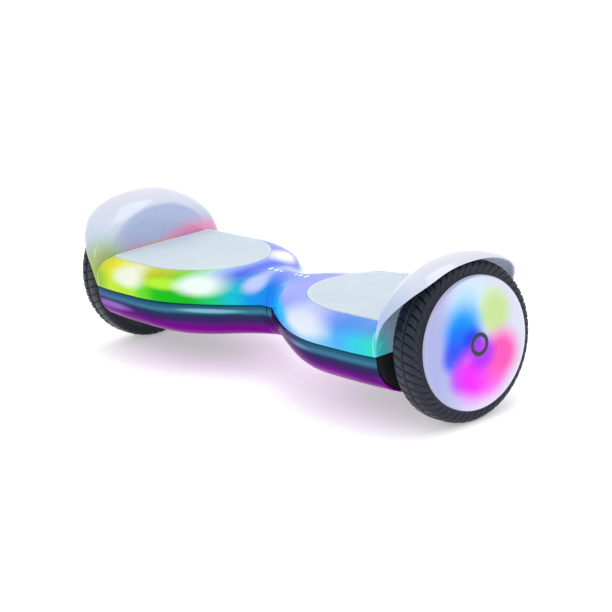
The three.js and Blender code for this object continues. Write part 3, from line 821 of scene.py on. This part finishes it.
def hole(radius, span, centre, axis, steps):
    """A round tool for cutting, which spans two stations along the axis."""
    low, high = span
    return lathe("hole", [(0, low), (radius, low), (radius, high), (0, high)], centre, axis, steps)


# ---------- Pad ----------
def crossings_at(outline, y):
    """The places along x where the outline crosses a line of constant y."""
    found = []
    for (x0, y0), (x1, y1) in zip(outline, np.roll(outline, -1, axis=0)):
        if (y0 - y) * (y1 - y) < 0:
            found.append(x0 + (x1 - x0) * (y - y0) / (y1 - y0))
    return found


def make_pad(side):
    """The foot pad: a slab with a rounded rim and fine ribs moulded across its top."""
    field = PAD_TOP - RIB_HEIGHT
    rim = [
        (0.0, PAD_LOW_Z),
        (0.0, PAD_TOP - 0.9),
        (0.15, PAD_TOP - 0.45),
        (0.5, PAD_TOP - 0.15),
        (1.0, field),
        (2.2, field),
    ]
    rings = [[(x, y, z) for x, y in pad_outline(inset)] for inset, z in rim]
    slab = loft(f"{side}_pad_cover", rings)
    ribs = make_ribs(f"{side}_pad_ribs", np.array(pad_outline(RIB_FIELD_INSET)), field)
    to_side(side, slab, ribs)
    place(slab, f"{side}_pad", PAD_FINISH, "foot_pad", f"{side}_foot_pad")
    place(ribs, f"{side}_pad", PAD_FINISH, "foot_pad")


def make_ribs(name, outline, field):
    """Ribs along x over the field inside the outline, as one object of many small bars."""
    section = [(-0.8, -0.2), (-0.45, RIB_HEIGHT), (0.45, RIB_HEIGHT), (0.8, -0.2)]
    size = len(section)
    points, faces = [], []
    for y in np.arange(-PAD_HALF + RIBS_FROM, PAD_HALF - RIBS_TO, RIB_PITCH):
        crossings = crossings_at(outline, y)
        if len(crossings) < 2:
            continue
        low, high = min(crossings) + RIB_END, max(crossings) - RIB_END
        if high - low < 5 * RIB_END:
            continue
        base = len(points)
        ends = ((low, 0.3), (low + RIB_END, 1.0), (high - RIB_END, 1.0), (high, 0.3))
        for x, shrink in ends:
            for dy, dz in section:
                points.append((x, y + dy * shrink, field + dz * shrink))
        for ring in range(len(ends) - 1):
            for j in range(size):
                a, b = base + ring * size + j, base + ring * size + (j + 1) % size
                faces.append((a, b, b + size, a + size))
        last = base + (len(ends) - 1) * size
        faces.append(tuple(range(base, base + size))[::-1])
        faces.append(tuple(range(last, last + size)))
    return make_object(name, points, faces)


# ---------- Fender ----------
def catmull(points, u):
    """A point on the centripetal Catmull-Rom curve that the CAD model's brim follows."""
    points = np.array(points, float)
    last = len(points) - 1
    index = min(int(last * u), last - 1)
    weight = last * u - index
    here, there = points[index], points[index + 1]
    before = points[index - 1] if index > 0 else 2 * here - there
    after = points[index + 2] if index + 2 <= last else 2 * there - here
    pairs = ((before, here), (here, there), (there, after))
    d0, d1, d2 = (np.dot(q - p, q - p) ** 0.25 for p, q in pairs)
    leave = d1 * ((here - before) / d0 - (there - before) / (d0 + d1) + (there - here) / d1)
    arrive = d1 * ((there - here) / d1 - (after - here) / (d1 + d2) + (after - there) / d2)
    square = -3 * here + 3 * there - 2 * leave - arrive
    cube = 2 * here - 2 * there + leave + arrive
    return here + leave * weight + square * weight**2 + cube * weight**3


def soften(path, sigma):
    """Rounds the corners of a line by a running average that leaves its ends where they are."""
    reach = int(3 * sigma) + 1
    kernel = np.exp(-0.5 * (np.arange(-reach, reach + 1) / sigma) ** 2)
    kernel /= kernel.sum()
    start = 2 * path[0] - path[1 : reach + 1][::-1]
    end = 2 * path[-1] - path[-reach - 1 : -1][::-1]
    padded = np.vstack([start, path, end])
    return np.stack([np.convolve(padded[:, k], kernel, "valid") for k in range(3)], axis=1)


def fender_line(u):
    """One line over the fender, from the middle of the wall's foot to the free edge of the brim."""
    inside = min(1, max(0, u))
    lift, across = math.sin(math.pi * inside), -math.cos(math.pi * inside)
    crease = np.array([ARCH_X, ARCH_HALF * across, ARCH_BASE + ARCH_RISE * lift])
    brim = catmull(BRIM_POINTS, inside)
    shoulder = crease + np.array([1 + 8 * lift, 12 * across, 12.5 * lift])
    ridge = brim + np.array([-15 * lift, 1.5 * across, 9 + 2 * (1 - lift)])
    beyond = max(-u, u - 1, 0) / FENDER_TAIL
    if beyond:
        foot = np.array([FENDER_FOOT[0], across * FENDER_FOOT[1], FENDER_FOOT[2]])
        crease, shoulder, ridge, brim = (
            point + (foot - point) * beyond for point in (crease, shoulder, ridge, brim)
        )
    t = np.linspace(0, 1, 60)[1:, None]
    rest = 1 - t
    curve = rest**3 * crease + 3 * rest**2 * t * shoulder + 3 * rest * t**2 * ridge + t**3 * brim
    root = np.array([FENDER_X, 0, FENDER_FOOT[2]])
    wall_edge = np.array([FENDER_X, crease[1], crease[2]])
    wall = root + (wall_edge - root) * np.linspace(0, 0.985, 40)[:, None]
    path = resample(np.vstack([wall, curve]), 400)
    spacing = np.linalg.norm(path[1] - path[0])
    return soften(path, FENDER_ROUNDING / max(spacing, 0.05))


def inward_directions(surface):
    """Unit directions into the fender's wall, which run along X where the wall stands upright."""
    inward = np.cross(np.gradient(surface, axis=0), np.gradient(surface, axis=1))
    inward /= np.maximum(np.linalg.norm(inward, axis=2, keepdims=True), 1e-9)
    inward[:, 0] = (1, 0, 0)
    weight = smooth_step(surface[:, :, 0], FENDER_X + 0.2, FENDER_X + 2.5)[:, :, None]
    inward = inward * weight + np.array([1.0, 0, 0]) * (1 - weight)
    return inward / np.linalg.norm(inward, axis=2, keepdims=True)


def make_fender(side):
    """The milky fender over the wheel, and the plate that closes its foot above the seam."""
    sweep = np.linspace(-FENDER_TAIL, 1 + FENDER_TAIL, FENDER_ROWS)
    outer = np.array([resample(fender_line(u), FENDER_COLUMNS) for u in sweep])
    travel = np.linspace(0, 1, FENDER_COLUMNS)
    edge = ((travel - 0.975) / 0.025).clip(0, 1)
    taper = np.sqrt(np.clip(1 - edge**2, 0.02, 1))
    inner = outer + inward_directions(outer) * FENDER_WALL * taper[None, :, None]
    inner[:, :, 2] = np.maximum(inner[:, :, 2], SEAM_Z + 0.3)
    rings = np.concatenate([outer, inner[:, ::-1]], axis=1)
    fender = loft(f"{side}_fender_cover", rings, merge=0.01, sharp=50)
    plate_stations = ((FENDER_X + 0.2, 0.5), (FENDER_X + 0.4, 0.3), (FENDER_X + 4, 0.3))
    sections = [(x, arc(x, inset, True, WALL_POINTS)) for x, inset in plate_stations]
    plate = section_loft(f"{side}_fender_foot", sections)
    to_side(side, fender, plate)
    place(fender, f"{side}_half", FENDER[side], "fender", f"{side}_fender")
    place(plate, f"{side}_half", FENDER[side], "fender")


# ---------- Wheel ----------
def tyre_profile():
    """Outside of the tyre from the inner bead round the tread to the outer bead, as [radius, x]."""
    outline = [
        (RIM_R + GAP, TYRE_IN + 1),
        (70, TYRE_IN + 0.2),
        (75, TYRE_IN + 0.3),
        (77.6, TYRE_IN + 1.4),
        (79.2, TYRE_IN + 3.4),
        (79.9, TYRE_IN + 7),
        (WHEEL_R, TYRE_IN + 12),
        (WHEEL_R, TYRE_OUT - 12),
        (79.8, TYRE_OUT - 8),
        (79.0, TYRE_OUT - 4.6),
        (77.4, TYRE_OUT - 2.2),
        (75, TYRE_OUT - 0.8),
        (71.5, TYRE_OUT - 0.3),
        (69, TYRE_OUT - 0.6),
        (CAP_R + GAP, TYRE_OUT),
    ]
    return resample(outline, 72)


def make_tyre(side):
    """The tyre: one groove round its tread, and slashes that curve from it over both shoulders."""
    outside = tyre_profile()
    radius, x = outside[:, 0], outside[:, 1]
    tread = radius > SHOULDER_R
    ring_groove = GROOVE_DEPTH * np.exp(-(((x - GROOVE_X) / GROOVE_WIDTH) ** 2)) * tread
    outer_band = smooth_step(x, GROOVE_X + 0.6, GROOVE_X + 2.0) * smooth_step(radius, 68, 70)
    inner_band = smooth_step(x, GROOVE_X - 0.8, GROOVE_X - 2.4) * smooth_step(radius, 73.5, 76)
    flank = smooth_step(radius, 77.5, 74.5) * (x > GROOVE_X)
    travel = path_lengths(outside)
    travel = (travel - np.interp(GROOVE_X, x[tread], travel[tread])) / SLASH_REACH
    lean = -np.where(travel > 0, 0.3 * travel + 1.25 * travel**2, 0.8 * travel)
    inside = [(CAP_R + GAP, TYRE_LIP_X), (RIM_R + GAP, TYRE_LIP_X), (RIM_R + GAP, TYRE_IN + 1.6)]
    steps = SLASHES * STEPS_PER_SLASH
    rings = []
    for step in range(steps):
        phase = (step / STEPS_PER_SLASH + lean + 0.5) % 1 - 0.5
        slash = np.exp(-((phase / SLASH_WIDTH) ** 2)) * (outer_band + 0.6 * inner_band)
        cut_radius = radius - ring_groove - SLASH_DEPTH * slash * (1 - flank)
        cut_x = x - FLANK_DEPTH * slash * flank
        profile = np.vstack([np.column_stack([cut_radius, cut_x]), inside])
        rings.append(turned(profile, AXLE, ALONG_X, 2 * math.pi * step / steps))
    tyre = loft(f"{side}_tyre_cover", rings, around=True, sharp=60)
    to_side(side, tyre)
    place(tyre, f"{side}_wheel", TYRE_FINISH, "tyre", f"{side}_tyre")


def make_cap(side):
    """The wheel's domed light cap, with a plain dark ring at its middle."""
    dome = [
        (0.0, CAP_OUT),
        (14, CAP_OUT - 0.12),
        (28, CAP_OUT - 0.45),
        (40, CAP_OUT - 0.95),
        (50, CAP_OUT - 1.5),
        (58, CAP_OUT - 2.1),
        (62, CAP_OUT - 2.7),
        (64, CAP_OUT - 3.3),
        (65.2, CAP_OUT - 4.0),
        (65.8, CAP_OUT - 4.9),
        (CAP_R, CAP_OUT - 6),
        (CAP_R, CAP_IN),
        (CAP_R - 2.4, CAP_IN),
        (CAP_R - 2.4, CAP_OUT - 5.6),
        (32, CAP_OUT - 3),
        (0.0, CAP_OUT - 2.4),
    ]
    band = [
        (7.4, CAP_OUT - 0.3),
        (7.4, CAP_OUT + 0.02),
        (7.7, CAP_OUT + 0.14),
        (11.3, CAP_OUT + 0.12),
        (11.6, CAP_OUT),
        (11.6, CAP_OUT - 0.3),
    ]
    cap = lathe(f"{side}_light_cap", dome, AXLE, ALONG_X, CAP_STEPS)
    ring = lathe(f"{side}_cap_ring", band, AXLE, ALONG_X, RING_STEPS)
    to_side(side, cap, ring)
    place(cap, f"{side}_wheel", CAPS[side], "wheel_cap", f"{side}_wheel_cap")
    place(ring, f"{side}_wheel", FINISHES["black_plastic"], "black_plastic")


# ---------- Small parts ----------
def make_lights(side):
    """The lit bars beside the neck, which stand just proud of the shell and follow its roundness."""
    for number, (x0, x1, half) in enumerate(LIGHT_BARS, 1):
        outline = np.array(rounded_bar(x0, x1, half))
        middle = outline.mean(axis=0)
        top = crown_height((x0 + x1) / 2)
        rings = []
        for scale, z in ((1, BAR_FOOT_Z), (1, top - 0.1), (0.93, top + 0.06), (0.8, top + 0.12)):
            plan = middle + (outline - middle) * scale
            drop = NECK_R - np.sqrt(NECK_R**2 - plan[:, 1] ** 2)
            rings.append(np.column_stack([plan, z - drop]))
        bar = loft(f"{side}_light_bar_{number}", rings)
        to_side(side, bar)
        nodes = [f"{side}_indicator_lens"] if number == 1 else []
        place(bar, f"{side}_half", LENS, "indicator", *nodes)


def small_block(name, x, z, half_x, half_z, low, high):
    """A small block between two stations of Y, with rounded corners and a rounded far edge."""
    corner = min(half_x, half_z) * 0.7
    rings = []
    for y, inset in ((low, 0.0), (high - 0.3, 0.0), (high - 0.1, 0.12), (high, 0.35)):
        ring = []
        for quarter, (sign_x, sign_z) in enumerate(((1, 1), (-1, 1), (-1, -1), (1, -1))):
            for t in np.linspace(0, math.pi / 2, 6):
                angle = quarter * math.pi / 2 + t
                across = sign_x * (half_x - corner) + (corner - inset) * math.cos(angle)
                up = sign_z * (half_z - corner) + (corner - inset) * math.sin(angle)
                ring.append((x + across, y, z + up))
        rings.append(ring)
    return loft(name, rings)


def make_charge_socket():
    """The charge socket at the back of the right half: a round bore with pins in it."""
    face, floor = PORT_FACE, PORT_FACE - PORT_DEPTH
    profile = [
        (0.0, floor),
        (PORT_BORE, floor),
        (PORT_BORE, face - 0.5),
        (PORT_BORE + 0.5, face),
        (PORT_R - 0.6, face),
        (PORT_R, face - 0.6),
        (PORT_R, face - PORT_LENGTH),
        (0.0, face - PORT_LENGTH),
    ]
    socket = lathe("charge_socket", profile, (PORT_X, 0, PORT_Z), ALONG_Y, ROUND_STEPS)
    place(socket, "right_half", FINISHES["black_plastic"], "black_plastic", "charge_port")
    tip, root = floor + 3, floor - 1
    pin_profile = [(0.0, root), (PIN_R, root), (PIN_R, tip - 0.5), (PIN_R / 2, tip), (0.0, tip)]
    for number in range(PINS):
        angle = 2 * math.pi * number / PINS
        centre = (PORT_X + PIN_CIRCLE * math.sin(angle), 0, PORT_Z + PIN_CIRCLE * math.cos(angle))
        pin = lathe(f"charge_pin_{number + 1}", pin_profile, centre, ALONG_Y, PIN_STEPS)
        place(pin, "right_half", FINISHES["steel"], "steel")


def make_charge_flap():
    """The socket's rubber cap: a disc with a plug and a pressed ring, a hinge tab and a grip."""
    low, high = PORT_FACE + GAP, PORT_FACE + 3
    plug, disc = PORT_BORE - 0.8, PORT_R - 0.3
    profile = [
        (0.0, PORT_FACE - 2),
        (plug - 0.5, PORT_FACE - 2),
        (plug, PORT_FACE - 1.5),
        (plug, low),
        (disc, low),
        (disc, high - 0.9),
        (disc - 0.3, high - 0.3),
        (disc - 1, high),
        (disc - 2.4, high),
        (disc - 2.8, high - 0.4),
        (disc - 3.4, high - 0.4),
        (disc - 3.8, high),
        (0.0, high),
    ]
    flap = lathe("charge_flap", profile, (PORT_X, 0, PORT_Z), ALONG_Y, ROUND_STEPS)
    tab_z = PORT_Z - PORT_R + 0.1
    tab = small_block("charge_flap_tab", PORT_X, tab_z, 2.9, 1.6, low, high - 0.2)
    grip = small_block("charge_flap_grip", PORT_X, PORT_Z + 6.2, 2.6, 0.7, high - 0.4, high + 0.5)
    place(flap, "charge_cap", FINISHES["rubber"], "rubber", "charge_port_cap")
    for item in (tab, grip):
        place(item, "charge_cap", FINISHES["rubber"], "rubber")


def make_power_button():
    """The round power button, with a dished face and a pressed ring in it."""
    edge, top = BUTTON_R - 0.2, BUTTON_FACE
    profile = [
        (0.0, top - 14),
        (3.0, top - 14),
        (3.0, top - 6),
        (edge, top - 6),
        (edge, top - 0.5),
        (edge - 0.5, top),
        (edge - 0.9, top - 0.1),
        (4.4, top - 0.4),
        (4.2, top - 0.7),
        (3.6, top - 0.75),
        (3.4, top - 0.5),
        (2.0, top - 0.7),
        (0.0, top - 0.8),
    ]
    button = lathe("power_button_cover", profile, (BUTTON_X, 0, BUTTON_Z), ALONG_Y, ROUND_STEPS)
    place(button, "power_button", FINISHES["black_plastic"], "black_plastic", "power_button")


def finish_cad_nodes():
    """Gives each CAD node the finish of its slot, where that slot has one here."""
    slot_of = {row["node"]: row["material_slot"] for row in frame["record"]["subparts"]}
    for node, item in frame["nodes"].items():
        finish = FINISHES.get(slot_of[node])
        if finish:
            item.data.materials.clear()
            item.data.materials.append(finish)


# ---------- Studio ----------
def make_floor():
    """White paper that glows a little, so that the ground is as light as the background."""
    paint = Paint("floor_paper", Roughness=0.9)
    paper = paint.mix(srgb(246, 246, 247), srgb(250, 250, 251), paint.noise(3))
    paint.colour(paper)
    paint.glow(paper, 0.35)
    corners = ((-1, -1), (1, -1), (1, 1), (-1, 1))
    points = [(x * FLOOR_HALF, y * FLOOR_HALF, FLOOR_Z) for x, y in corners]
    floor = make_object("floor", points, [(0, 1, 2, 3)])
    floor.data.materials.append(paint.material)


def make_world():
    world = bpy.data.worlds.new("studio")
    bpy.context.scene.world = world
    world.use_nodes = True
    background = world.node_tree.nodes["Background"]
    background.inputs[0].default_value = (1, 1, 1, 1)
    background.inputs[1].default_value = WORLD_STRENGTH
    bpy.context.scene.view_settings.view_transform = "Standard"


def soft_light(name, place_at, size, power):
    data = bpy.data.lights.new(name, "AREA")
    data.shape = "RECTANGLE"
    data.size, data.size_y = size
    data.energy = power
    lamp = bpy.data.objects.new(name, data)
    lamp.location = place_at
    lamp.rotation_mode = "QUATERNION"
    lamp.rotation_quaternion = (Vector(LIGHT_AIM) - Vector(place_at)).to_track_quat("-Z", "Y")
    bpy.context.scene.collection.objects.link(lamp)


def make_camera():
    """The photo's view. It rolls because the board in the photo is pitched and this one is level."""
    flat = math.cos(ELEVATION)
    back = Vector((math.sin(AZIMUTH) * flat, -math.cos(AZIMUTH) * flat, math.sin(ELEVATION)))
    level = Vector((math.cos(AZIMUTH), math.sin(AZIMUTH), 0))
    upright = back.cross(level)
    right = level * math.cos(ROLL) + upright * math.sin(ROLL)
    up = upright * math.cos(ROLL) - level * math.sin(ROLL)
    data = bpy.data.cameras.new("camera")
    data.sensor_width = SENSOR
    data.lens = FOCAL
    data.clip_start, data.clip_end = CAMERA_CLIP
    camera = bpy.data.objects.new("camera", data)
    pose = Matrix((right, up, back)).transposed().to_4x4()
    pose.translation = Vector(CAMERA_PLACE)
    camera.matrix_world = pose
    bpy.context.scene.collection.objects.link(camera)
    bpy.context.scene.camera = camera


# ---------- The whole scene ----------
for side in SIDES:
    make_shells(side)
    make_pad(side)
    make_fender(side)
    make_tyre(side)
    make_cap(side)
for side in SIDES:
    make_lights(side)
make_charge_socket()
make_charge_flap()
make_power_button()
finish_cad_nodes()
make_floor()
make_world()
for row in LIGHTS:
    soft_light(*row)
make_camera()
